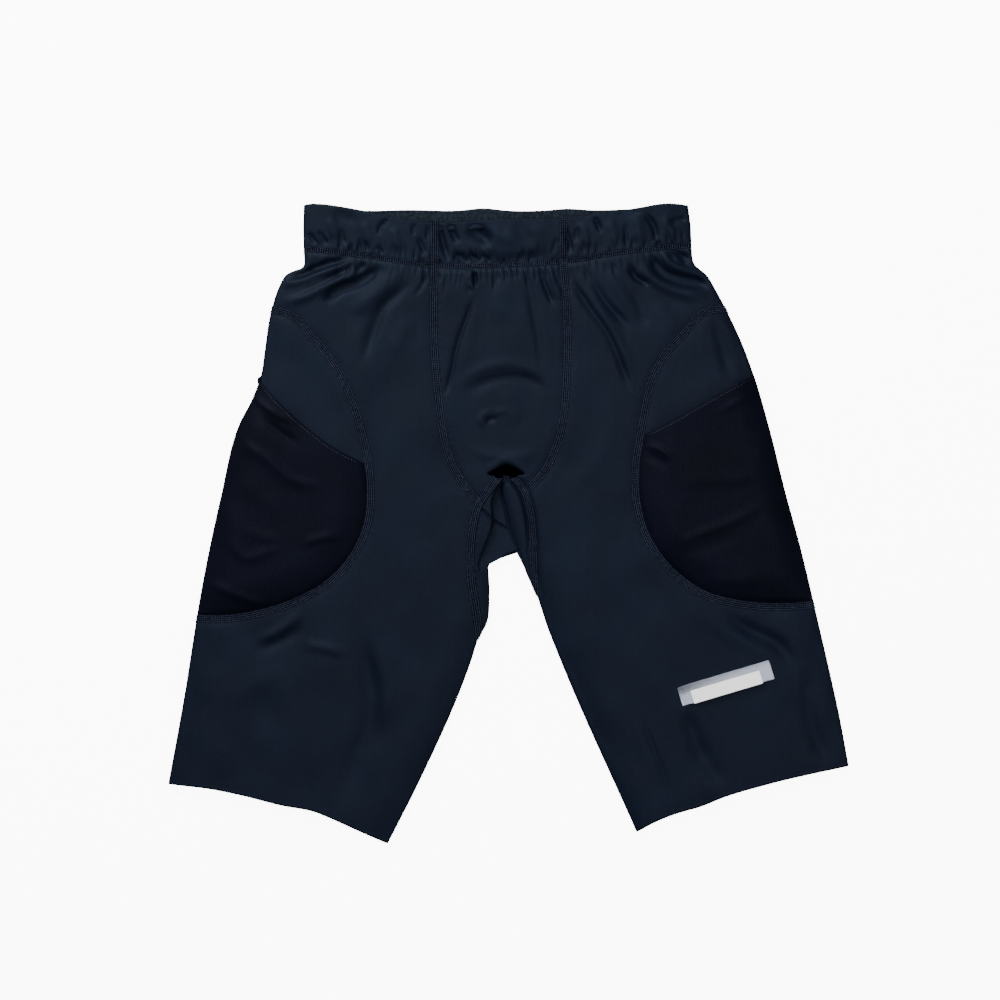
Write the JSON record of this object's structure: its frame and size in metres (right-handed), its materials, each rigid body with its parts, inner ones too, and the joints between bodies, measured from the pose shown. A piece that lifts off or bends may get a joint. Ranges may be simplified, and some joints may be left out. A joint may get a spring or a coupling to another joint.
{
  "type": "padded impact shorts",
  "caption": "Snug knee-length base-layer shorts, laid flat, with a gathered waistband, a shaped front panel and slanted hip pockets that each hold a slide-out foam pad.",
  "frame": {"origin": "centre of the bounding box, on the surface that the shorts lie on", "axes": "+Y from the hems towards the waistband, +X towards the wearer's left leg, +Z out of the front of the shorts, which lie on their back"},
  "size_m": [0.5448, 0.5121, 0.0199],
  "materials": {
    "navy_knit": "smooth warp-knit stretch jersey with a dull satin sheen",
    "pocket_mesh": "fine ribbed micro-mesh, matte",
    "waist_elastic": "brushed knitted elastic",
    "seam_thread": "textured polyester thread in flatlock and coverstitch rows",
    "clear_film": "clear glossy film",
    "white_tab": "plain satin white",
    "pad_foam": "closed-cell foam with a soft skin"
  },
  "bodies": {
    "shorts": {"waistband_front_right": "navy_knit", "waistband_front_center": "navy_knit", "waistband_front_left": "navy_knit", "waistband_back": "navy_knit", "front_panel": "navy_knit", "front_panel_lining": "navy_knit", "crotch_gusset": "navy_knit", "leg_panel_front_right": "navy_knit", "leg_panel_back_right": "navy_knit", "hip_panel_front_right": "navy_knit", "hip_panel_back_right": "navy_knit", "leg_panel_front_left": "navy_knit", "leg_panel_back_left": "navy_knit", "hip_panel_front_left": "navy_knit", "hip_panel_back_left": "navy_knit", "waistband_elastic_front": "waist_elastic", "waistband_elastic_back": "waist_elastic", "waistband_coverstitch_front": "seam_thread", "waistband_coverstitch_back": "seam_thread", "center_back_seam": "seam_thread", "front_seam_right": "seam_thread", "hip_seam_front_right": "seam_thread", "hip_seam_back_right": "seam_thread", "inseam_right": "seam_thread", "front_seam_left": "seam_thread", "hip_seam_front_left": "seam_thread", "hip_seam_back_left": "seam_thread", "inseam_left": "seam_thread", "pocket_front_right": "pocket_mesh", "pocket_back_right": "pocket_mesh", "pocket_mouth_binding_right": "pocket_mesh", "pocket_front_left": "pocket_mesh", "pocket_back_left": "pocket_mesh", "pocket_mouth_binding_left": "pocket_mesh", "label_film": "clear_film", "label_tab": "white_tab"},
    "pad_right": {"hip_pad_right": "pad_foam"},
    "pad_left": {"hip_pad_left": "pad_foam"}
  },
  "joints": [
    {"name": "pad_right_slide", "type": "slide", "parent": "shorts", "child": "pad_right", "axis": [0.2504, 0.9681, 0], "range_m": [0, 0.15]},
    {"name": "pad_left_slide", "type": "slide", "parent": "shorts", "child": "pad_left", "axis": [-0.2504, 0.9681, 0], "range_m": [0, 0.15]}
  ]
}
